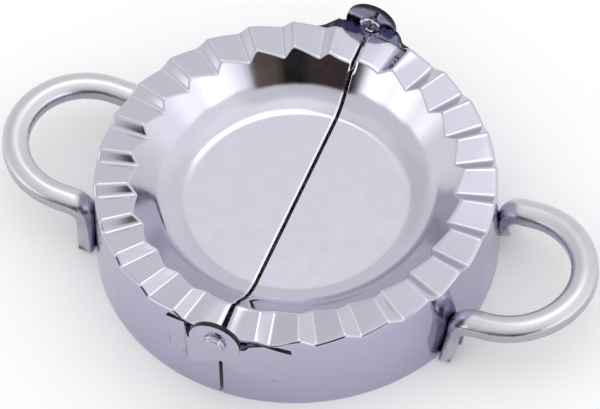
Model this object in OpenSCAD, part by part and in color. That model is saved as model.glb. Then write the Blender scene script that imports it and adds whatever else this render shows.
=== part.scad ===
// Round empanada press of stainless sheet: two identical halves that fold together on two rivets.
// X runs through both handles, Y along the seam and hinge line, Z up from the cutting edge.

/* [Shells] */
// Outer diameter of the round cutting wall
skirt_d = 95; // [88:1:105]
// Height of the fluted rim above the table, at the middle of its steps
rim_z = 22.4; // [20:0.1:26]
// Thickness of the shell sheet
sheet = 0.6; // [0.4:0.1:0.8]
// Gap between the two halves along the seam
seam_gap = 0.7; // [0.5:0.1:1]
// Radius of the bend between rim and cutting wall
edge_r = 1.1; // [0.9:0.1:1.4]
// Width of the fluted rim, from its inner edge to the bend
rim_w = 9; // [7:0.5:10]
// Radius of the flat bottom of the bowl
floor_r = 25; // [20:0.5:27]
// Depth of the flat bottom below the middle of the rim
bowl_depth = 8.3; // [7:0.1:9]
// Radius of the hollow curve between the bottom and the sloping wall
bowl_blend = 9; // [5:0.5:10]
// Slope of the bowl wall
bowl_slope = 42; // [35:1:45]
// Depth of the turned-down lip along the seam
seam_lip = 1.6; // [1:0.1:2.5]

/* [Flutes] */
// Number of flutes on each half
flutes = 14; // [10:1:18]
// Height of one step
flute_h = 1.9; // [1:0.1:2.4]
// Share of each flute taken by its steep step
step_share = 0.27; // [0.2:0.01:0.4]

/* [Handles] */
// Distance from the centre to the outer end of a handle
handle_reach = 73.4; // [66:0.2:80]
// Distance between the middles of the two arms
handle_span = 33.8; // [28:0.2:38]
// Width of the pressed channel
channel_w = 6.3; // [5:0.1:7.5]
// Depth of the pressed channel
channel_d = 3.6; // [3.2:0.1:4.5]
// Thickness of the handle sheet
handle_t = 0.7; // [0.5:0.1:1]
// Height of the handle's back where it meets the cutting wall
handle_z = 14.3; // [12:0.1:16]
// Rise of the handle towards its end
handle_rise = 4.5; // [0:0.5:7]
// Radius on the channel's middle where an arm turns down
leg_bend = 3; // [2.5:0.1:4]
// Height of the foot of each leg above the table
leg_foot = 2.5; // [1:0.1:5]
// Depth of the flat pressed into a leg by its weld
weld_flat = 0.3; // [0.1:0.05:0.5]

/* [Hinges] */
// Radius of the round ears
ear_r = 6.1; // [5:0.1:7]
// Thickness of a hinge leaf
leaf_t = 0.7; // [0.5:0.05:0.9]
// Distance from the cutting wall to the inner ear
ear_standoff = 1.4; // [1.3:0.05:1.8]
// Gap between the two ears of a hinge
ear_gap = 0.15; // [0.12:0.01:0.25]
// Half of the gap left between the two rims when the press is shut
rim_gap = 0.45; // [0.35:0.05:0.8]
// Distance from the hinge line to the far top corner of a leaf
leaf_top_x = 15.6; // [14:0.1:17]
// Distance from the hinge line to the far bottom corner of a leaf
leaf_bot_x = 13.4; // [12:0.1:16]
// Height of the top edge of a leaf's wing
leaf_top_z = 21.4; // [19:0.1:22]
// Height of the bottom corner of a leaf's wing
leaf_bot_z = 9; // [7:0.1:11]
// Distance from the hinge line to the bend beside an ear
leaf_bend_x = 6.4; // [6.2:0.1:7]
// Distance from the hinge line to where a leaf lies on the cutting wall
leaf_seat_x = 10.8; // [10:0.1:12]

/* [Rivets] */
// Radius of the rivet shank
shank_r = 1.6; // [1.2:0.1:2]
// Radius of the rivet head
head_r = 2.9; // [2.4:0.1:3.4]
// Height of the rivet head
head_h = 0.9; // [0.6:0.1:1.2]
// Radius of the rolled tail
tail_r = 2.4; // [2.1:0.1:2.7]
// Length of the rolled tail
tail_l = 1.05; // [0.8:0.05:1.1]
// Running clearance of the shank, on the radius
run_fit = 0.05; // [0.03:0.01:0.08]
// Play between a rivet and the ears, along its axis
end_play = 0.1; // [0.05:0.05:0.15]

/* [Hidden] */
$fn = 64;
skirt_r = skirt_d / 2;
rim_out = skirt_r - edge_r;
rim_in = rim_out - rim_w;
floor_z = rim_z - bowl_depth;
pitch = 180 / flutes;
axis_z = rim_z + rim_gap;
half_w = channel_w / 2;
wall_h = channel_d - half_w;
arc_r = handle_span / 2;
leg_x = sqrt(pow(skirt_r + half_w - weld_flat, 2) - pow(arc_r, 2));
bend_z = handle_z - (leg_bend + half_w) * cos(handle_rise);
inner_y = skirt_r + ear_standoff;
outer_y = inner_y + leaf_t + ear_gap;
head_y = outer_y + leaf_t + end_play;
tail_y = inner_y - end_play;

// Height of the saw-toothed rim at u flutes from the back seam: steep steps centred on whole numbers
function tooth(u) =
    let (d = u - floor(u), s = step_share)
    flute_h * (d < s / 2 ? d / s : d > 1 - s / 2 ? (d - 1) / s : 0.5 - (d - s / 2) / (1 - s));

// Stations around one half, in flutes: both edges of each step and three spans between them
function stations() = concat(
    [0],
    [for (k = [0 : flutes - 1]) for (i = [0 : 3]) k + step_share / 2 + i * (1 - step_share) / 3],
    [flutes]
);

// Upper side of the sheet as [radius, height], from the bottom of the bowl to the cutting edge
function skin(w) = concat(
    [[floor_r, floor_z]],
    [for (i = [1 : 4]) let (a = bowl_slope * i / 4)
        [floor_r + bowl_blend * sin(a), floor_z + bowl_blend * (1 - cos(a))]],
    [[rim_in - 1.1, rim_z - 1.1 + 0.5 * w]],
    [[rim_in, rim_z + w]],
    [for (i = [0 : 4]) let (a = 90 * i / 4)
        [rim_out + edge_r * sin(a), rim_z + w - edge_r * (1 - cos(a))]],
    [[skirt_r, 0]]
);

function unit(v) = v / norm(v);
function side(p, i) = let (d = unit(p[i + 1] - p[i])) [d[1], -d[0]];

// A line shifted to its right by t, with mitred corners
function shifted(p, t) = let (n = len(p)) [for (i = [0 : n - 1])
    let (a = side(p, max(0, i - 1)), b = side(p, min(n - 2, i)), m = unit(a + b))
    p[i] + m * t / (m * a)
];

// Faces of a sheet swept through n stations, each with m points on one side and m on the other
function sheet_faces(n, m) = let (w = 2 * m) [for (i = [0 : n - 2]) each concat(
    [for (j = [0 : m - 2]) let (a = i * w + j, b = a + w) each [[a, a + 1, b + 1], [a, b + 1, b]]],
    [for (j = [0 : m - 2]) let (a = i * w + m + j, b = a + w) each [[a, b + 1, a + 1], [a, b, b + 1]]],
    [let (a = i * w + m - 1, b = a + m) each [[a, b, b + w], [a, b + w, a + w]]]
)];

// Faces along the other free edge of a swept sheet
function edge_faces(n, m) = let (w = 2 * m) [for (i = [0 : n - 2]) let (a = i * w, b = a + m)
    each [[a, b + w, b], [a, a + w, b + w]]];

// Faces that close station i of a swept sheet
function end_faces(i, m, last) = let (w = 2 * m) [for (j = [0 : m - 2])
    let (a = i * w + j, b = a + 1, d = a + m, e = d + 1)
    each last ? [[a, e, d], [a, b, e]] : [[a, d, e], [a, e, b]]];

// One half of the pressed sheet, bowl, rim and wall in one piece, with the seam on the Y axis
module shell() {
    u = stations();
    n = len(u);
    m = len(skin(0));
    w = 2 * m;
    c = n * w;
    rings = [for (v = u) let (top = skin(tooth(v))) concat(top, shifted(top, sheet))];
    points = concat(
        [for (i = [0 : n - 1]) for (q = rings[i])
            [max(seam_gap / 2, q[0] * sin(pitch * u[i])), q[0] * cos(pitch * u[i]), q[1]]],
        [[seam_gap / 2, 0, floor_z], [seam_gap / 2, 0, floor_z - sheet]]
    );
    floor_faces = [for (i = [0 : n - 2]) let (a = i * w, b = a + w)
        each [[c, a, b], [c + 1, b + m, a + m]]];
    middle_faces = concat(
        [[c, c + 1, m], [c, m, 0]],
        let (a = (n - 1) * w) [[c, a + m, c + 1], [c, a, a + m]]
    );
    lip_line = [for (q = skin(0)) if (q[0] <= rim_out) q - [0, sheet / 2]];
    lip_low = [for (i = [len(lip_line) - 1 : -1 : 0]) lip_line[i] - [0, seam_lip - sheet / 2]];
    lip_middle = [[-1, floor_z - seam_lip], [-1, floor_z - sheet / 2]];
    color("gainsboro") {
        polyhedron(points, concat(
            sheet_faces(n, m), floor_faces, middle_faces, end_faces(0, m, false), end_faces(n - 1, m, true)
        ), convexity = 8);
        for (s = [1, -1])
            translate([seam_gap / 2, 0, 0]) rotate([90, 0, 90])
                linear_extrude(sheet) scale([s, 1]) polygon(concat(lip_middle, lip_line, lip_low));
    }
}

// One side of the pressed channel's section: round back upwards, straight walls below
function channel(r) = concat(
    [[-r, -wall_h]],
    [for (i = [0 : 12]) let (a = 180 - 15 * i) [r * cos(a), r * sin(a)]],
    [[r, -wall_h]]
);

// Stations of a handle from its front foot to its back foot: place, direction, and the way its back faces
function handle_line() = let (
    t = handle_rise,
    along = [cos(t), 0, sin(t)],
    up = [-sin(t), 0, cos(t)],
    knee = [leg_x + leg_bend, 0, bend_z],
    arm = (handle_reach - half_w - arc_r - knee[0] + leg_bend * sin(t)) / cos(t),
    tip = knee + leg_bend * up + arm * along,
    front = concat(
        [[[leg_x, -arc_r, leg_foot], [0, 0, 1], [-1, 0, 0]]],
        [for (i = [0 : 7]) let (b = (90 - t) * i / 7)
            [knee + leg_bend * [-cos(b), 0, sin(b)] - [0, arc_r, 0], [sin(b), 0, cos(b)], [-cos(b), 0, sin(b)]]]
    ),
    bow = [for (i = [0 : 24]) let (g = -90 + 7.5 * i)
        [tip + arc_r * (cos(g) * along + sin(g) * [0, 1, 0]), cos(g) * [0, 1, 0] - sin(g) * along, up]],
    rear = [for (i = [len(front) - 1 : -1 : 0]) let (q = front[i])
        [[q[0][0], -q[0][1], q[0][2]], -q[1], q[2]]]
) concat(front, bow, rear);

// Moves a point out of the cutting wall, or off it by t
function seated(p, t) = let (r = norm([p[0], p[1]]), k = max(1, (skirt_r + t) / r)) [p[0] * k, p[1] * k, p[2]];

// One bail handle, its two legs turned down with their backs welded flat on the cutting wall
module handle() {
    line = handle_line();
    n = len(line);
    outer = channel(half_w);
    inner = channel(half_w - handle_t);
    m = len(outer);
    points = [for (s = line) let (across = cross(s[2], s[1])) each concat(
        [for (q = outer) seated(s[0] + q[0] * across + q[1] * s[2], 0)],
        [for (q = inner) seated(s[0] + q[0] * across + q[1] * s[2], handle_t)]
    )];
    color("silver")
        polyhedron(points, concat(
            sheet_faces(n, m), edge_faces(n, m), end_faces(0, m, false), end_faces(n - 1, m, true)
        ), convexity = 8);
}

// One hinge leaf at the back with its wing towards +X: flat round ear at face_y, wing bent onto the wall
module leaf(face_y, bore) {
    a0 = asin(leaf_seat_x / skirt_r);
    a1 = asin((leaf_top_x + 1) / skirt_r);
    path = concat(
        [[-ear_r - 1, face_y], [leaf_bend_x, face_y]],
        [for (i = [0 : 4]) let (a = a0 + (a1 - a0) * i / 4) [skirt_r * sin(a), skirt_r * cos(a)]]
    );
    outer = shifted(path, -leaf_t);
    back = [for (i = [len(path) - 1 : -1 : 0]) outer[i]];
    corner = [leaf_bot_x, leaf_bot_z - axis_z];
    touch = atan2(corner[1], corner[0]) - acos(ear_r / norm(corner));
    notch_z = leaf_top_z - 2;
    notch_x = sqrt(pow(ear_r, 2) - pow(axis_z - notch_z, 2));
    color("lightgray") difference() {
        intersection() {
            linear_extrude(40) polygon(concat(path, back));
            translate([0, 60, 0]) rotate([90, 0, 0]) linear_extrude(30) union() {
                translate([0, axis_z]) circle(ear_r);
                polygon([
                    [0, axis_z], [ear_r * cos(touch), axis_z + ear_r * sin(touch)],
                    [leaf_bot_x, leaf_bot_z], [leaf_top_x, leaf_top_z],
                    [7.8, leaf_top_z], [6.7, notch_z], [notch_x, notch_z]
                ]);
            }
        }
        translate([0, face_y - 1, axis_z]) rotate([-90, 0, 0]) cylinder(r = bore, h = leaf_t + 2);
    }
}

// Rivet at the back: low domed head outside, rolled hollow tail inside
module rivet() {
    translate([0, tail_y, axis_z]) rotate([-90, 0, 0])
        rotate_extrude() polygon([
            [1, -tail_l + 0.2], [1.5, -tail_l], [2, -tail_l + 0.1], [tail_r, -0.3], [tail_r, 0],
            [shank_r, 0], [shank_r, head_y - tail_y], [head_r, head_y - tail_y],
            [head_r, head_y - tail_y + 0.4 * head_h], [head_r - 0.5, head_y - tail_y + 0.8 * head_h],
            [head_r - 1.4, head_y - tail_y + head_h], [0, head_y - tail_y + head_h],
            [0, 0.3], [1, 0.3]
        ]);
}

module turned() {
    rotate([0, 0, 180]) children();
}

module left_shell() turned() shell();
module right_shell() shell();
module left_handle() turned() handle();
module right_handle() handle();
module back_right_leaf() leaf(outer_y, shank_r);
module front_left_leaf() turned() leaf(outer_y, shank_r + run_fit);
module front_right_leaf() mirror([0, 1, 0]) leaf(inner_y, shank_r);
module back_left_leaf() turned() mirror([0, 1, 0]) leaf(inner_y, shank_r + run_fit);
module hinge_rivets() color("gray") {
    rivet();
    turned() rivet();
}

left_shell();
right_shell();
left_handle();
right_handle();
front_left_leaf();
front_right_leaf();
back_left_leaf();
back_right_leaf();
hinge_rivets();
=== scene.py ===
"""Looks of the empanada press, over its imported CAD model. Lengths in millimetres until a mesh is made."""
import math

import bmesh
import bpy
import numpy as np
from mathutils import Matrix, Vector
from mathutils.geometry import delaunay_2d_cdt


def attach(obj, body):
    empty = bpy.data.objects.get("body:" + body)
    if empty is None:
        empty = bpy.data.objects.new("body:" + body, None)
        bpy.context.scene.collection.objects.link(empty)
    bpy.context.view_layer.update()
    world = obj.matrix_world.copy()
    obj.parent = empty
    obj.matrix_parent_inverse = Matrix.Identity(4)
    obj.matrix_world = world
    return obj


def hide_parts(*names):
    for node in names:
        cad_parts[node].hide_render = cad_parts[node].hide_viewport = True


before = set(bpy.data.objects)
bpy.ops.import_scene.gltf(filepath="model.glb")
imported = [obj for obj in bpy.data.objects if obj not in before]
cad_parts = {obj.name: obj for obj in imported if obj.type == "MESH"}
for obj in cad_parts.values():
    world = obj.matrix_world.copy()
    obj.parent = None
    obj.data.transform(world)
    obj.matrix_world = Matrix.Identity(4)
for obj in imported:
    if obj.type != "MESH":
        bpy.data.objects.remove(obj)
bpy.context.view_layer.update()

# The photo's camera: azimuth to the right of the front, elevation, roll, the point it looks at and its offset
VIEW_AZ = 23.088
VIEW_EL = 53.03
VIEW_ROLL = -2.081
AIM_Z = 12
AIM_RIGHT = 0.797
AIM_UP = 0.291
DISTANCE = 948.2
LENS = 243.5
# Shells
SKIRT_R = 47.5
RIM_Z = 22.4
SHEET = 0.6
GAP = 0.9
EDGE_R = 0.75
RIM_OUT = 46.1
RIM_MIDDLE = 42
RIM_IN = 38.0
FLOOR_R = 20
FLOOR_Z = 14.1
CREASE_R = 25.2
CREASE_BEND = 7
FOOT_SLOPE = 16
SLOPE = 43
BEND_IN = 1.1
WALL_TOP = RIM_Z - EDGE_R
DRAFT = (SKIRT_R - RIM_OUT - EDGE_R) / WALL_TOP
ROLL_R = 0.65
LIP = 2.6
SEAM_REACH = 0.35
# Flutes
FLUTE_H = 1.9
PITCH = 13.0
SOFT = 0.1
# First step's angle, share of a flute that its step takes, and for each end the amplitude left at the seam
# and the height it settles to
RIGHT_RIM = (-0.74, 0.33, (0.3, -0.4), (0.0, 0.35))
LEFT_RIM = (0.2, 0.25, (0.25, 0.0), (0.2, -0.7))
RIM_FADE = 19
SEAM_SAG = 1.1
SAG_START = 160
SAG_SPAN = 11
# Handles
REACH = 73.4
SPAN = 33.8
HALF_W = 3.15
DEPTH = 3.6
SHOULDER_R = 1.3
SHOULDER_AT = 40
FOOT_SHOULDER_R = 0.9
FOOT_SHOULDER_AT = 20
HANDLE_T = 0.7
HANDLE_Z = 14.3
RISE = 4.5
LEG_BEND = 3
LEAN = 2.9
LEAN_START = 0.12
FOOT_Z = 0.6
FOOT_CUT = 0.35
FLAT = 0.3
# Hinges
EAR_R = 6.1
LEAF_T = 0.55
AXIS_Z = 22.85
INNER_Y = 48.7
OUTER_Y = 49.4
WEB_START = 6.3
MESH = 0.45
# Corners of a leaf as (x, z, radius): the notch beside the ear, and the wing's two outer corners
NOTCH = ((6.75, 21.9, 0.3), (7.4, 22.7, 0.25))
OUTER_WING = ((13.9, 20.9, 0.4), (12.4, 9.2, 0.5))
INNER_WING = ((16.3, 19.1, 0.4), (13.8, 8.4, 0.5))
# Where the web meets the wall
OUTER_SEAT = 8.6
INNER_SEAT = 10.4
# Rivets
SHANK_R = 1.6
PLAY = 0.05
HEAD_R = 2.75
HEAD_H = 1.46
CAP_R = 2.1
CAP_BEND = 0.32
PETAL_CUT = 0.26
# Steel: noise scales of the grain, the waves and the smudges, then the share of the colour left on upright
# sides as painted shade, and the painted highlight band along the left half's seam, its edges in metres
ROLLED = (90, 4200, 90)
WAVES = 75
SMUDGES = 260
# painted shade: the share of the colour kept on upright sides, which makes them darker and bluer
UPRIGHT_SHADE = (0.84, 0.84, 0.95)
HANDLE_UPRIGHT_SHADE = (0.76, 0.77, 0.8)
# painted highlight along the left half's seam edge: its colour and the x ranges where it fades in and out
SEAM_HIGHLIGHT = (0.8, 0.8, 0.84)
SEAM_HIGHLIGHT_START = (-0.00105, -0.0009)
SEAM_HIGHLIGHT_END = (-0.0003, 0)
# Studio: patches of the sky that the steel mirrors, each painted over the ones before it. Middle azimuth from
# the back towards +X, elevation, half width, half height, softness of each, level and tint
WHITE = (1, 1, 1)
BASE_LEVEL = 0.93
FLOOR_LIGHT = 1.05
FLOOR_COLOUR = (0.98, 0.98, 0.985)
FLOOR_HALF = 4000
STUDIO = (
    (0, 90, 180, 15, 1, 7, 1.27, WHITE),
    (-88, 68, 24, 10, 8, 6, 1.04, WHITE),
    (25, 36, 22, 24, 12, 6, 1.02, WHITE),
    (76, 38, 37, 22, 12, 6, 1.17, WHITE),
    (40, 69, 26, 14, 8, 6, 1.22, WHITE),
    (75, 66, 28, 9, 12, 8, 1.27, WHITE),
    (178, 54, 26, 8, 12, 6, 0.82, WHITE),
    (-66, 38, 20, 14, 9, 8, 0.83, WHITE),
    (-20, 56, 34, 8, 10, 2.5, 1.13, WHITE),
    (-6.5, 69, 26.5, 11, 5, 4, 2.3, WHITE),
    (78, 2, 20, 12, 8, 6, 1.35, WHITE),
    (-90, 12, 16, 8, 8, 6, 1.1, WHITE),
    (-114, 18, 12, 7.5, 7, 4, 1.8, WHITE),
    (-130, 25, 12, 8, 7, 4, 2.1, WHITE),
    (-150, 30, 14, 8, 6, 3, 2.1, WHITE),
    (66, 22, 9, 7, 8, 5, 1.33, WHITE),
    (88, 29, 13, 6, 8, 4, 1.7, WHITE),
    (112, 33, 17, 6.5, 6, 3, 2.2, WHITE),
    (186, 11, 36, 10, 8, 3, 0.03, WHITE),
    (184, 37, 22, 11.5, 4, 4, 0.058, (1, 0.7, 0.7)),
    (142, 37, 14, 11.5, 4, 4, 0.14, (1, 0.76, 0.56)),
    (158, 23, 9, 25.5, 5, 4, 0.006, WHITE),
)


def camera():
    """The camera that took the photo."""
    az, el, roll = math.radians(VIEW_AZ), math.radians(VIEW_EL), math.radians(VIEW_ROLL)
    back = Vector((math.sin(az) * math.cos(el), -math.cos(az) * math.cos(el), math.sin(el)))
    side = Vector((math.cos(az), math.sin(az), 0))
    up = back.cross(side)
    right = math.cos(roll) * side + math.sin(roll) * up
    up = math.cos(roll) * up - math.sin(roll) * side
    target = Vector((0, 0, AIM_Z)) + AIM_RIGHT * right + AIM_UP * up
    data = bpy.data.cameras.new("camera")
    data.lens = LENS
    data.sensor_width = 36
    data.clip_start = 0.01
    data.clip_end = 20
    cam = bpy.data.objects.new("camera", data)
    bpy.context.scene.collection.objects.link(cam)
    eye = (target + back * DISTANCE) / 1000
    cam.matrix_world = Matrix((
        (right.x, up.x, back.x, eye.x),
        (right.y, up.y, back.y, eye.y),
        (right.z, up.z, back.z, eye.z),
        (0, 0, 0, 1),
    ))
    bpy.context.scene.camera = cam


def add_mesh(name, points, faces):
    """A new mesh object from points in millimetres."""
    mesh = bpy.data.meshes.new(name)
    mesh.from_pydata([tuple(p) for p in np.asarray(points, float) / 1000], [], faces)
    obj = bpy.data.objects.new(name, mesh)
    bpy.context.scene.collection.objects.link(obj)
    return obj


def clean(obj, merge=2e-6, sharp=38):
    """Merges doubles, drops faces with no area, makes the normals agree and marks the sharp edges."""
    bm = bmesh.new()
    bm.from_mesh(obj.data)
    bmesh.ops.remove_doubles(bm, verts=bm.verts, dist=merge)
    bmesh.ops.dissolve_degenerate(bm, edges=bm.edges, dist=1e-7)
    loose = [v for v in bm.verts if not v.link_faces]
    bmesh.ops.delete(bm, geom=loose, context="VERTS")
    bmesh.ops.recalc_face_normals(bm, faces=bm.faces)
    limit = math.radians(sharp)
    for e in bm.edges:
        e.smooth = len(e.link_faces) == 2 and e.calc_face_angle(0) < limit
    for f in bm.faces:
        f.smooth = True
    bm.to_mesh(obj.data)
    bm.free()


def bake_modifiers(obj):
    """Replaces the mesh by what its modifiers make of it."""
    graph = bpy.context.evaluated_depsgraph_get()
    mesh = bpy.data.meshes.new_from_object(obj.evaluated_get(graph))
    obj.modifiers.clear()
    obj.data = mesh


def bevel(obj, width):
    """A modifier that rounds the sharp edges."""
    mod = obj.modifiers.new("edge", "BEVEL")
    mod.width = width / 1000
    mod.segments = 2
    mod.limit_method = "ANGLE"
    mod.angle_limit = math.radians(60)
    return mod


def thicken(obj, thickness, round_edge, rim_slot=0):
    """Gives a surface its sheet thickness on the inner side and rounds the cut edges."""
    mod = obj.modifiers.new("sheet", "SOLIDIFY")
    mod.thickness = thickness / 1000
    mod.offset = -1
    mod.use_even_offset = False
    mod.material_offset_rim = rim_slot
    bake_modifiers(obj)
    mod = bevel(obj, round_edge)
    mod.use_clamp_overlap = True
    mod.material = 0
    bake_modifiers(obj)


def wall_r(z):
    """Radius of the cutting wall at a height: it leans in a little towards the rim."""
    return SKIRT_R - DRAFT * np.clip(z, 0, WALL_TOP)


def turned(points):
    """The same points after half a turn about Z."""
    return np.asarray(points, float) * (-1, -1, 1)


# Shells


def tooth(u, step):
    """Height of the saw-toothed rim at u flutes from its start, with rounded corners."""
    total = 0
    offsets = np.linspace(-0.5, 0.5, 25) * SOFT
    for t in offsets:
        v = u + t
        d = v - np.floor(v)
        slope = 0.5 - (d - step / 2) / (1 - step)
        total = total + np.where(d < step / 2, d / step, np.where(d > 1 - step / 2, (d - 1) / step, slope))
    return FLUTE_H * total / len(offsets)


def rim_height(angle, rim):
    """Height of the rim over its middle at an angle from the half's first seam end, flatter near the seam."""
    start, step, first, last = rim
    w = tooth((angle - start) / PITCH, step)
    for away, (left, level) in ((angle, first), (180 - angle, last)):
        k = np.clip(1 - away / RIM_FADE, 0, 1)
        keep = 1 - (1 - left) * k * k * (3 - 2 * k)
        w = w * keep + level * (1 - keep)
    return w


def arc(line, heading, radius, turn, n):
    """Adds an arc to a line of (r, z) points. Heading 0 is outwards and 90 up. A turn above 0 bends it up."""
    h, s = math.radians(heading), math.copysign(1, turn)
    r, z = line[-1]
    for i in range(1, n + 1):
        a = h + math.radians(turn) * i / n
        out = radius * s * (math.sin(a) - math.sin(h))
        down = radius * s * (math.cos(a) - math.cos(h))
        line.append((r + out, z - down))


def straight(line, heading, length, n):
    """Adds a straight run to a line of (r, z) points."""
    r, z = line[-1]
    h = math.radians(heading)
    for i in range(1, n + 1):
        line.append((r + length * math.cos(h) * i / n, z + length * math.sin(h) * i / n))


def shell_profile(w, sag):
    """Upper side of the sheet, bowl to cutting edge, as (r, z), where the rim is w high and its edge sags."""
    top, foot = math.radians(SLOPE), math.radians(FOOT_SLOPE)
    line = [(FLOOR_R, FLOOR_Z)]
    straight(line, 0, CREASE_R - FLOOR_R, 5)
    arc(line, 0, CREASE_BEND, FOOT_SLOPE, 8)
    # the bowl's wall curves up to a cone, which the rim cuts further out where it is higher
    low = -FLUTE_H / 2
    t = BEND_IN * math.tan(top / 2)
    dr = RIM_IN + low / math.tan(top) - t * math.cos(top) - line[-1][0]
    dz = RIM_Z + low - t * math.sin(top) - line[-1][1]
    rows = np.array([
        [math.sin(top) - math.sin(foot), math.cos(top)],
        [math.cos(foot) - math.cos(top), math.sin(top)],
    ])
    bowl_r, length = np.linalg.solve(rows, (dr, dz))
    arc(line, FOOT_SLOPE, bowl_r, SLOPE - FOOT_SLOPE, 16)
    straight(line, SLOPE, length, 8)
    straight(line, SLOPE, (w - low) / math.sin(top) + 1e-3, 6)
    arc(line, SLOPE, BEND_IN, -SLOPE, 6)
    inner = line[-1][0]
    straight(line, 0, RIM_OUT - inner, 12)
    lean = math.degrees(math.atan(DRAFT))
    arc(line, 0, EDGE_R, lean - 90, 8)
    straight(line, lean - 90, line[-1][1] / math.cos(math.radians(lean)), 16)
    line = np.array(line)
    share = np.clip((line[:, 0] - inner) / (RIM_OUT - inner), 0, 1) * np.clip(line[:, 1] / WALL_TOP, 0, 1)
    line[:, 1] -= sag * share
    return line


def shell_columns(start, step):
    """Angles of the columns, closer together at the corners of each step, and the seam's two ends."""
    half = step / 2
    near = [0, 0.4 * half, 0.75 * half, half + 0.09, 0.35, 0.42, 0.5]
    near += [half + SOFT / 2 * k for k in (-1, -0.66, -0.33, 0, 0.33, 0.66, 1)]
    cell = sorted({-v for v in near} | set(near))
    places = {round(start + PITCH * (k + c), 4) for k in range(-1, 16) for c in cell}
    inside_half = [v for v in places if 1.7 < v < 178.3]
    return np.radians(sorted(inside_half + [0, 0.8, 179.2, 180]))


def seam_shift(phi, low):
    """Angle by which a column moves round near the seam, so that the end columns run along it."""
    near = np.maximum(0, 1 - phi / SEAM_REACH) ** 2
    far = np.maximum(0, 1 - (math.pi - phi) / SEAM_REACH) ** 2
    return low * (near - far)


def shell(name, left):
    """One half: bowl, fluted rim and wall in one drawn sheet, with its seam edge rolled down."""
    x0 = GAP / 2 + ROLL_R
    rim = LEFT_RIM if left else RIGHT_RIM
    middle = math.asin(x0 / RIM_MIDDLE)
    target = shell_columns(rim[0], rim[1])
    target[0], target[-1] = middle, math.pi - middle
    target = np.unique(np.clip(target, middle, math.pi - middle))
    phi = target.copy()
    for _ in range(60):
        phi = target - seam_shift(phi, middle)
    phi[0], phi[-1] = 0, math.pi
    w = rim_height(np.degrees(target), rim)
    sag = (0 if left else SEAM_SAG) * np.clip((np.degrees(target) - SAG_START) / SAG_SPAN, 0, 1)
    lines = np.array([shell_profile(v, d) for v, d in zip(w, sag)])
    r, z = lines[:, :, 0].T, lines[:, :, 1].T
    angle = phi[None, :] + seam_shift(phi[None, :], np.arcsin(x0 / r))
    grid = np.stack([r * np.sin(angle), r * np.cos(angle), z], -1)
    chord = np.stack([np.full(len(w), x0), grid[0, :, 1], np.full(len(w), FLOOR_Z)], -1)
    inner = [chord * (1 - t) + grid[0] * t for t in (0, 0.2, 0.4, 0.6, 0.8)]
    rows = np.concatenate([np.array(inner), grid])
    n, m = rows.shape[:2]
    points = list(rows.reshape(-1, 3))
    faces = []
    for i in range(n - 1):
        for a in range(i * m, i * m + m - 1):
            faces.append((a, a + 1, a + m + 1, a + m))
    # the seam edge, from the foot of the back wall over the bowl to the foot of the front wall
    first = len(inner)
    path = [(first + i) * m for i in range(n - first - 1, 0, -1)] + list(range(m))
    path += [(first + i) * m + m - 1 for i in range(1, n - first)]
    roll_down(points, faces, path)
    points = np.array(points)
    points[:, 2] = np.maximum(points[:, 2], 0)
    obj = add_mesh(name, turned(points) if left else points, faces)
    clean(obj)
    outward(obj)
    thicken(obj, SHEET, 0.12)
    clean(obj, merge=1e-7, sharp=40)
    return obj


def roll_down(points, faces, path):
    """Rolls an edge down to a lip. On the wall, which has no roll, the sheet just runs on to the seam."""
    places = np.array([points[i] for i in path])
    tangent = np.gradient(places, axis=0)
    tangent /= np.maximum(np.linalg.norm(tangent, axis=1, keepdims=True), 1e-9)
    normal = np.cross(tangent, (1, 0, 0))
    normal /= np.maximum(np.linalg.norm(normal, axis=1, keepdims=True), 1e-9)
    normal *= np.where(normal[:, 2:] + normal[:, 1:2] * places[:, 1:2] / 60 < 0, -1, 1)
    normal = smoothed(normal, places)
    reach = np.hypot(places[:, 0], places[:, 1])
    taper = np.clip((RIM_OUT + EDGE_R - 0.15 - reach) / 0.6, 0, 1)
    taper[places[:, 2] < WALL_TOP - 1.2] = 0
    last = list(path)
    roll = [math.radians(a) for a in (15, 30, 45, 60, 75, 90)]
    steps = [(ROLL_R * math.sin(a), ROLL_R * (1 - math.cos(a)), ROLL_R * a / (math.pi / 2)) for a in roll]
    steps += [(ROLL_R, ROLL_R + LIP * k, ROLL_R) for k in (0.5, 1)]
    for across, down, flat in steps:
        side = taper * across + (1 - taper) * flat
        shift = side[:, None] * np.array((-1, 0, 0)) - (taper * down)[:, None] * normal
        start = len(points)
        points.extend(places + shift)
        new = list(range(start, start + len(path)))
        faces += [(last[k], new[k], new[k + 1], last[k + 1]) for k in range(len(path) - 1)]
        last = new


def smoothed(normal, places):
    """Directions averaged over about a millimetre along a line, so that the edge turned down has no folds."""
    length = np.concatenate([[0], np.cumsum(np.linalg.norm(np.diff(places, axis=0), axis=1))])
    weight = np.exp(-((length[:, None] - length[None, :]) / 1.1) ** 2)
    weight *= np.gradient(length)[None, :]
    mean = weight @ normal
    return mean / np.linalg.norm(mean, axis=1, keepdims=True)


def outward(obj):
    """Turns all faces of an open surface so that the top ones look up."""
    mesh = obj.data
    area = sum(p.normal.z * p.area for p in mesh.polygons)
    if area < 0:
        mesh.flip_normals()


# Handles


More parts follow.
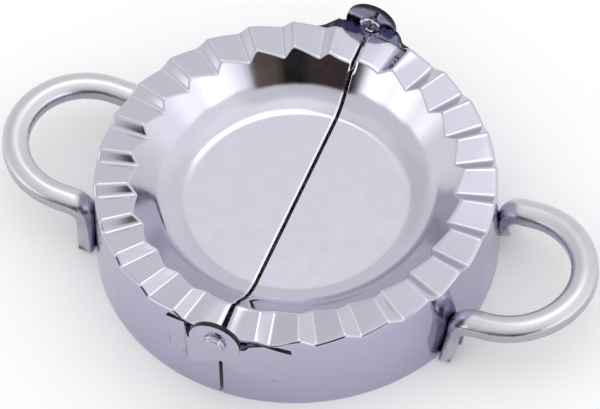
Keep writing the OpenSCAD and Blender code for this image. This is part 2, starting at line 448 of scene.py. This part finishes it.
def sweep(line):
    """A channel swept along stations of (place, direction, back, share of a foot), kept outside the wall."""
    points = []
    for place, along, back, foot in line:
        across = np.cross(back, along)
        outer, inner = channel(0, foot), channel(HANDLE_T, foot)
        for ring, lift in ((outer, 0), (inner, HANDLE_T)):
            for q in ring:
                p = place + q[0] * across + q[1] * back
                p[2] += FOOT_CUT * (HALF_W - q[1]) * foot ** 3
                reach = math.hypot(p[0], p[1])
                k = max(1, (wall_r(p[2]) + lift) / reach)
                points.append((p[0] * k, p[1] * k, p[2]))
    m = len(outer)
    w = 2 * m
    faces = []
    for i in range(len(line) - 1):
        a, b = i * w, (i + 1) * w
        ring = list(range(m)) + list(range(w - 1, m - 1, -1))
        for j, here in enumerate(ring):
            there = ring[(j + 1) % w]
            faces.append((a + here, a + there, b + there, b + here))
    for a, flip in ((0, False), ((len(line) - 1) * w, True)):
        for j in range(m - 1):
            f = (a + j, a + j + 1, a + m + j + 1, a + m + j)
            faces.append(f[::-1] if flip else f)
    return points, faces


def channel(inset, foot):
    """Section of the channel, set in by a distance: round back, tight shoulders and straight walls."""
    flatter = min(1, 1.6 * foot)
    radius = SHOULDER_R + (FOOT_SHOULDER_R - SHOULDER_R) * flatter
    a = math.radians(SHOULDER_AT + (FOOT_SHOULDER_AT - SHOULDER_AT) * flatter)
    back_r = (HALF_W - radius * (1 - math.sin(a))) / math.sin(a)
    low = HALF_W - back_r
    x, y = (back_r - radius) * math.sin(a), low + (back_r - radius) * math.cos(a)
    side = [(HALF_W - inset, HALF_W - DEPTH), (HALF_W - inset, (HALF_W - DEPTH + y) / 2)]
    for b in np.linspace(math.pi / 2, a, 8):
        side.append((x + (radius - inset) * math.sin(b), y + (radius - inset) * math.cos(b)))
    for b in np.linspace(a, 0, 9)[1:]:
        side.append(((back_r - inset) * math.sin(b), low + (back_r - inset) * math.cos(b)))
    return [(-p, q) for p, q in side] + side[-2::-1]


def leg_x(y, z):
    """Distance from the seam's plane of a leg that is welded to the cutting wall."""
    return math.sqrt((wall_r(z) + HALF_W - FLAT) ** 2 - y * y)


def handle_line():
    """Stations from the front foot round the bow to the back foot."""
    t = math.radians(RISE)
    half = SPAN / 2
    bend_z = HANDLE_Z - (LEG_BEND + HALF_W) * math.cos(t)
    top_x = leg_x(half, bend_z)
    along = np.array((math.cos(t), 0, math.sin(t)))
    up = np.array((-math.sin(t), 0, math.cos(t)))
    side = np.array((0, 1, 0))
    knee = np.array((top_x + LEG_BEND, 0, bend_z))
    arm = (REACH - HALF_W - half - knee[0] + LEG_BEND * math.sin(t)) / math.cos(t)
    tip = knee + LEG_BEND * up + arm * along
    front = []
    # s is 0 at the bend and 1 at the foot
    for s in (1, *np.linspace(0.97, 0, 13)[:-1]):
        z = bend_z + s * (FOOT_Z - bend_z)
        y = -half - LEAN * (math.hypot(s, LEAN_START) - LEAN_START)
        place = np.array((leg_x(y, z), y, z))
        # towards the foot the leg turns a third of the way to face the centre
        back = -place * (1, s / 3, 0)
        front.append((place, np.array((0, 0, 1)), back / np.linalg.norm(back), s))
    for b in np.linspace(0, math.pi / 2 - t, 15):
        out = np.array((-math.cos(b), 0, math.sin(b)))
        front.append((knee + LEG_BEND * out - half * side, np.array((math.sin(b), 0, math.cos(b))), out, 0))
    start = front[-1][0]
    end = tip - half * side
    for k in np.linspace(0, 1, 9)[1:-1]:
        front.append((start + k * (end - start), along, up, 0))
    bow = []
    for g in np.radians(np.linspace(-90, 90, 61)):
        out = math.cos(g) * along + math.sin(g) * side
        bow.append((tip + half * out, math.cos(g) * side - math.sin(g) * along, up, 0))
    rear = []
    for place, direction, back, foot in reversed(front):
        rear.append((place * (1, -1, 1), direction * (-1, 1, -1), back * (1, -1, 1), foot))
    return front + bow + rear


def handle(name, left):
    """A bail handle, one channel from foot to foot."""
    points, faces = sweep(handle_line())
    obj = add_mesh(name, turned(points) if left else points, faces)
    clean(obj)
    bevel(obj, 0.15)
    bake_modifiers(obj)
    clean(obj, merge=1e-7)
    return obj


# Hinges


def leaf_outline(wing):
    """Outline of a leaf seen square on, wing towards +X: round ear, notch and wing with rounded corners."""
    d = np.array(wing[1][:2]) - (0, AXIS_Z)
    touch = math.atan2(d[1], d[0]) - math.acos(EAR_R / np.linalg.norm(d))
    notch = math.asin((NOTCH[0][1] - AXIS_Z) / EAR_R)
    around = np.linspace(touch, notch - 2 * math.pi, 90)
    ear = [(EAR_R * math.cos(a), AXIS_Z + EAR_R * math.sin(a)) for a in around]
    corners = NOTCH + wing
    ring = [ear[-1]] + [(x, z) for x, z, _ in corners] + [ear[0]]
    out = list(ear)
    for i, (x, z, radius) in enumerate(corners):
        p = np.array((x, z))
        a = np.array(ring[i]) - p
        b = np.array(ring[i + 2]) - p
        a /= np.linalg.norm(a)
        b /= np.linalg.norm(b)
        half = math.acos(max(-1, min(1, a @ b))) / 2
        cut = radius / math.tan(half)
        centre = p + (a + b) / np.linalg.norm(a + b) * radius / math.sin(half)
        start, end = p + a * cut - centre, p + b * cut - centre
        a0, a1 = math.atan2(start[1], start[0]), math.atan2(end[1], end[0])
        turn = (a1 - a0 + math.pi) % (2 * math.pi) - math.pi
        for angle in a0 + turn * np.linspace(0, 1, 5):
            out.append(centre + radius * np.array((math.cos(angle), math.sin(angle))))
    return [tuple(q) for q in out]


def spaced(ring, step):
    """A closed line with points no more than a step apart."""
    out = []
    for a, b in zip(ring, ring[1:] + ring[:1]):
        n = max(1, math.ceil(math.dist(a, b) / step))
        for k in range(n):
            out.append((a[0] + (b[0] - a[0]) * k / n, a[1] + (b[1] - a[1]) * k / n))
    return out


def leaf_plan(face_y, seat):
    """Height y over (x, z) of a leaf's inner side: flat ear, slanted web, and the wing on the wall."""
    def plain(x, radius):
        seat_y = np.sqrt(radius ** 2 - seat ** 2)
        slant = face_y + (seat_y - face_y) * (x - WEB_START) / (seat - WEB_START)
        wall = np.sqrt(np.maximum(radius ** 2 - x * x, 0))
        return np.where(x < WEB_START, face_y, np.where(x < seat, slant, wall + 0.02))

    def smooth(x, z):
        return np.mean([plain(x + t, wall_r(z)) for t in np.linspace(-0.4, 0.4, 15)], axis=0)

    return smooth


def leaf(name, inner, left):
    """One hinge leaf cut from sheet, its web bent and its wing pressed to the round wall."""
    face_y, seat, wing = (INNER_Y, INNER_SEAT, INNER_WING) if inner else (OUTER_Y, OUTER_SEAT, OUTER_WING)
    bore = SHANK_R + (PLAY if left else 0)
    outer = spaced(leaf_outline(wing), 0.4)
    hole = [(bore * math.cos(a), AXIS_Z + bore * math.sin(a)) for a in np.linspace(0, 2 * math.pi, 41)[:-1]]
    loops = outer + hole
    base = len(outer)
    edges = [(i, (i + 1) % base) for i in range(base)]
    edges += [(base + i, base + (i + 1) % len(hole)) for i in range(len(hole))]
    ring = np.array(outer)
    grid = []
    for z in np.arange(8.6, 29, MESH):
        for x in np.arange(-6, 16.5, MESH):
            if inside((x, z), ring) and math.hypot(x, z - AXIS_Z) > bore + 0.25:
                if np.min(np.hypot(ring[:, 0] - x, ring[:, 1] - z)) > 0.25:
                    grid.append((x, z))
    net = delaunay_2d_cdt([Vector(p) for p in loops + grid], edges, [], 0, 1e-5)
    verts = np.array([tuple(v) for v in net[0]])
    faces = []
    for f in net[2]:
        c = verts[list(f)].mean(0)
        if inside(c, ring) and math.hypot(c[0], c[1] - AXIS_Z) > bore - 0.02:
            faces.append(tuple(f))
    y = leaf_plan(face_y, seat)(verts[:, 0], verts[:, 1])
    points = np.stack([verts[:, 0], y, verts[:, 1]], -1)
    if inner:
        points = points * (1, -1, 1)
    if left:
        points = turned(points)
    obj = add_mesh(name, points, faces)
    # the leaf's cut edges take the second material, a near-black painted shade
    dress(obj, leaf_steel, edge_painted_shade)
    clean(obj, sharp=60)
    front = points[:, 1].mean() < 0
    facing = sum(p.normal.y * p.area for p in obj.data.polygons)
    if (facing > 0) != front:
        obj.data.flip_normals()
    thicken(obj, LEAF_T, 0.1, 1)
    clean(obj, merge=1e-7, sharp=50)
    return obj


def inside(p, ring):
    """True if a point is inside a closed line."""
    x, y = p
    a = ring
    b = np.roll(ring, -1, axis=0)
    crossing = (a[:, 1] > y) != (b[:, 1] > y)
    with np.errstate(divide="ignore", invalid="ignore"):
        at = a[:, 0] + (y - a[:, 1]) / (b[:, 1] - a[:, 1]) * (b[:, 0] - a[:, 0])
    return bool(np.count_nonzero(crossing & (x < at)) % 2)


def rivet(name, left):
    """A rivet at the back: domed head outside, shank, and a hollow tail rolled open into petals inside."""
    head = OUTER_Y + LEAF_T + 0.03
    tail = INNER_Y - 0.03
    line = [(0, head + HEAD_H, 0)]
    for a in np.linspace(0, 1, 9)[1:]:
        line.append((CAP_R * a, head + HEAD_H - 0.12 * a * a, 0))
    for a in np.radians(np.linspace(15, 90, 6)):
        line.append((CAP_R + CAP_BEND * math.sin(a), head + 1.02 + CAP_BEND * math.cos(a), 0))
    line += [(2.42, head + 0.62, 0), (2.48, head + 0.54, 0)]
    for a in np.radians(np.linspace(10, 90, 5)):
        line.append((HEAD_R - 0.2 + 0.2 * math.sin(a), head + 0.32 + 0.2 * math.cos(a), 0))
    line += [(HEAD_R, head + 0.05, 0), (HEAD_R - 0.06, head, 0)]
    line += [(SHANK_R, head, 0), (SHANK_R, tail, 0)]
    line += [(2.5, tail, 1), (2.78, tail - 0.12, 1), (2.82, tail - 0.35, 1), (2.65, tail - 0.65, 1)]
    line += [(2.3, tail - 0.92, 0.9), (1.85, tail - 1.05, 0.6), (1.4, tail - 0.98, 0.3)]
    line += [(1.12, tail - 0.7, 0.1)]
    line += [(1.0, tail - 0.2, 0), (1.0, tail + 0.35, 0), (0, tail + 0.4, 0)]
    n = 72
    points = []
    for radius, y, petal in line:
        for k in range(n):
            a = 2 * math.pi * k / n
            split = abs(math.sin(2.5 * a + 0.4)) ** 0.35
            rr = radius * (1 - PETAL_CUT * petal * (1 - split))
            points.append((rr * math.cos(a), y + 0.12 * petal * (1 - split), AXIS_Z + rr * math.sin(a)))
    faces = []
    for i in range(len(line) - 1):
        for k in range(n):
            a, b = i * n + k, i * n + (k + 1) % n
            faces.append((a, b, b + n, a + n))
    obj = add_mesh(name, turned(points) if left else points, faces)
    clean(obj, sharp=48)
    return obj


# Shader nodes


def node(tree, kind, **values):
    """A shader node with some of its properties set."""
    made = tree.nodes.new(kind)
    for key, value in values.items():
        setattr(made, key, value)
    return made


def feed(tree, socket, value):
    """Links an input to another socket, or gives it a number or a colour."""
    if isinstance(value, bpy.types.NodeSocket):
        tree.links.new(value, socket)
    elif isinstance(value, tuple):
        socket.default_value = (*value, 1)
    else:
        socket.default_value = value


def calc(tree, operation, *inputs):
    """The result of a maths node on numbers or sockets."""
    made = node(tree, "ShaderNodeMath", operation=operation)
    for i, value in enumerate(inputs):
        feed(tree, made.inputs[i], value)
    return made.outputs[0]


def ramp(tree, value, start, end, before, after, shape="SMOOTHSTEP"):
    """A change from one value to another, smooth unless the shape is LINEAR."""
    made = node(tree, "ShaderNodeMapRange", interpolation_type=shape)
    for key, number in (("From Min", start), ("From Max", end), ("To Min", before), ("To Max", after)):
        made.inputs[key].default_value = number
    tree.links.new(value, made.inputs["Value"])
    return made.outputs["Result"]


def mixed(tree, factor, a, b, mode="MIX"):
    """Colour a turned into colour b, or multiplied by it, by a factor."""
    made = node(tree, "ShaderNodeMix", data_type="RGBA", blend_type=mode)
    for key, value in (("Factor", factor), ("A", a), ("B", b)):
        feed(tree, made.inputs[key], value)
    return made.outputs["Result"]


def noise(tree, place, scale, detail, roughness=0.5):
    """Noise over a place."""
    made = node(tree, "ShaderNodeTexNoise")
    for key, value in (("Vector", place), ("Scale", scale), ("Detail", detail), ("Roughness", roughness)):
        feed(tree, made.inputs[key], value)
    return made.outputs["Fac"]


def bump(tree, height, strength, distance):
    """A bump node for a height."""
    made = node(tree, "ShaderNodeBump")
    for key, value in (("Height", height), ("Strength", strength), ("Distance", distance)):
        feed(tree, made.inputs[key], value)
    return made


# Materials


def steel(name, colour, rough, grain, wave, smudge, side=UPRIGHT_SHADE, seam=False):
    """Polished stainless sheet: rolling grain, faint waviness, hairline wear and uneven gloss, with painted
    shade on upright sides and, where seam is set, a painted highlight band along the seam.
    """
    mat = bpy.data.materials.new(name)
    mat.use_nodes = True
    tree = mat.node_tree
    bsdf = tree.nodes["Principled BSDF"]
    bsdf.inputs["Metallic"].default_value = 1
    coord = node(tree, "ShaderNodeTexCoord")
    place = coord.outputs["Object"]
    drawn = node(tree, "ShaderNodeMapping")
    drawn.inputs["Scale"].default_value = ROLLED
    tree.links.new(place, drawn.inputs["Vector"])
    lines = noise(tree, drawn.outputs["Vector"], 1, 3)
    broad = noise(tree, place, WAVES, 2)
    patch = noise(tree, place, SMUDGES, 5, 0.6)
    gloss = ramp(tree, patch, 0.3, 0.7, rough - smudge, rough + smudge, "LINEAR")
    tree.links.new(gloss, bsdf.inputs["Roughness"])
    tone = ramp(tree, patch, 0, 1, 0.96, 1.03, "LINEAR")
    # base colour: painted shade on upright sides, and the painted seam highlight where asked, times the
    # random tone
    paint = mixed(tree, 1, painted_shade_and_highlight(tree, coord, colour, side, seam), tone, "MULTIPLY")
    tree.links.new(paint, bsdf.inputs["Base Color"])
    fine = bump(tree, lines, grain, 0.00001)
    soft = bump(tree, broad, 1, wave / 1000)
    tree.links.new(fine.outputs["Normal"], soft.inputs["Normal"])
    tree.links.new(soft.outputs["Normal"], bsdf.inputs["Normal"])
    return mat


def painted_shade_and_highlight(tree, coord, colour, side, seam):
    """The colour with painted shade on upright sides, and a painted highlight band along the left half's seam
    edge.
    """
    facing = node(tree, "ShaderNodeSeparateXYZ")
    tree.links.new(coord.outputs["Normal"], facing.inputs[0])
    # painted shade: where the normal is near level the colour falls to the upright shade share
    top = ramp(tree, calc(tree, "ABSOLUTE", facing.outputs[2]), 0.3, 0.55, 0, 1)
    upright_shaded = tuple(a * b for a, b in zip(colour, side))
    paint = mixed(tree, top, upright_shaded, colour)
    if not seam:
        return paint
    place = node(tree, "ShaderNodeSeparateXYZ")
    tree.links.new(coord.outputs["Object"], place.inputs[0])
    x = place.outputs[0]
    # painted highlight band along the left half's seam edge, only on faces that look up
    edge = calc(tree, "MULTIPLY", ramp(tree, x, *SEAM_HIGHLIGHT_START, 0, 1), ramp(tree, x, *SEAM_HIGHLIGHT_END, 1, 0))
    return mixed(tree, calc(tree, "MULTIPLY", edge, top), paint, SEAM_HIGHLIGHT)


def dress(obj, *mats):
    """Gives an object its materials."""
    obj.data.materials.clear()
    for mat in mats:
        obj.data.materials.append(mat)


# Stage


def window(tree, distance, half, soft):
    """1 up to half minus soft from the middle, falling to 0 at half plus soft, in degrees."""
    return ramp(tree, distance, math.radians(half - soft), math.radians(half + soft), 1, 0)


def studio(tree):
    """Colour of the studio that the steel mirrors: white, soft boxes and the dark shapes round the camera."""
    place = node(tree, "ShaderNodeTexCoord").outputs["Generated"]
    parts = node(tree, "ShaderNodeSeparateXYZ")
    tree.links.new(place, parts.inputs[0])
    x, y, z = parts.outputs
    az = calc(tree, "ARCTAN2", x, y)
    el = calc(tree, "ARCSINE", z)
    colour = (BASE_LEVEL, BASE_LEVEL, BASE_LEVEL)
    for middle, high, wide, tall, soft_az, soft_el, level, tint in STUDIO:
        turn = calc(tree, "WRAP", calc(tree, "SUBTRACT", az, math.radians(middle)), math.pi, -math.pi)
        rise = calc(tree, "SUBTRACT", el, math.radians(high))
        across = window(tree, calc(tree, "ABSOLUTE", turn), wide, soft_az)
        up = window(tree, calc(tree, "ABSOLUTE", rise), tall, soft_el)
        painted = tuple(level * c for c in tint)
        colour = mixed(tree, calc(tree, "MULTIPLY", across, up), colour, painted)
    return colour


def stage():
    """Pale floor in an evenly lit white studio."""
    world = bpy.data.worlds.new("studio")
    bpy.context.scene.world = world
    world.cycles.sampling_method = "NONE"
    world.use_nodes = True
    tree = world.node_tree
    tree.nodes.clear()
    out = node(tree, "ShaderNodeOutputWorld")
    background = node(tree, "ShaderNodeBackground")
    path = node(tree, "ShaderNodeLightPath")
    mirrored = calc(tree, "MAXIMUM", path.outputs["Is Glossy Ray"], path.outputs["Is Transmission Ray"])
    seen = calc(tree, "MAXIMUM", mirrored, path.outputs["Is Camera Ray"])
    feed(tree, background.inputs["Color"], mixed(tree, mirrored, WHITE, studio(tree)))
    feed(tree, background.inputs["Strength"], ramp(tree, seen, 0, 1, FLOOR_LIGHT, 1, "LINEAR"))
    tree.links.new(background.outputs["Background"], out.inputs["Surface"])
    corners = [(FLOOR_HALF * x, FLOOR_HALF * y, -0.05) for x, y in ((-1, -1), (1, -1), (1, 1), (-1, 1))]
    floor = add_mesh("floor", corners, [(0, 1, 2, 3)])
    mat = bpy.data.materials.new("floor")
    mat.use_nodes = True
    bsdf = mat.node_tree.nodes["Principled BSDF"]
    feed(mat.node_tree, bsdf.inputs["Base Color"], FLOOR_COLOUR)
    bsdf.inputs["Roughness"].default_value = 0.9
    bsdf.inputs["Specular IOR Level"].default_value = 0
    dress(floor, mat)


camera()
# every steel below gets painted shade on its upright sides; the shells also get the painted seam highlight
shell_steel = steel("shell_steel_look", (0.555, 0.548, 0.632), 0.1, 0.12, 0.01, 0.03, seam=True)
handle_steel = steel("handle_steel_look", (0.6, 0.58, 0.625), 0.26, 0.2, 0.008, 0.05, side=HANDLE_UPRIGHT_SHADE)
leaf_steel = steel("leaf_steel_look", (0.57, 0.56, 0.62), 0.13, 0.1, 0.006, 0.03)
rivet_steel = steel("rivet_steel_look", (0.55, 0.54, 0.59), 0.11, 0.05, 0.004, 0.03)
# near-black painted shade on the leaves' cut edges, for the dark lines along them
edge_painted_shade = steel("edge_painted_shade_look", (0.035, 0.03, 0.033), 0.4, 0.5, 0.004, 0.08)

pieces = (
    (shell("left_half_sheet", True), "left_half", "left_shell", "shell_steel", shell_steel),
    (shell("right_half_sheet", False), "right_half", "right_shell", "shell_steel", shell_steel),
    (handle("left_bail", True), "left_half", "left_handle", "handle_steel", handle_steel),
    (handle("right_bail", False), "right_half", "right_handle", "handle_steel", handle_steel),
    (leaf("back_outer_ear", False, False), "right_half", "back_right_leaf", "leaf_steel", leaf_steel),
    (leaf("front_outer_ear", False, True), "left_half", "front_left_leaf", "leaf_steel", leaf_steel),
    (leaf("front_inner_ear", True, False), "right_half", "front_right_leaf", "leaf_steel", leaf_steel),
    (leaf("back_inner_ear", True, True), "left_half", "back_left_leaf", "leaf_steel", leaf_steel),
    (rivet("back_rivet", False), "right_half", "hinge_rivets", "rivet_steel", rivet_steel),
    (rivet("front_rivet", True), "right_half", "hinge_rivets", "rivet_steel", rivet_steel),
)
for obj, body, part, slot, mat in pieces:
    if mat is not leaf_steel:
        dress(obj, mat)
    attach(obj, body)
    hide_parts(part)
stage()
bpy.context.scene.view_settings.view_transform = "Standard"
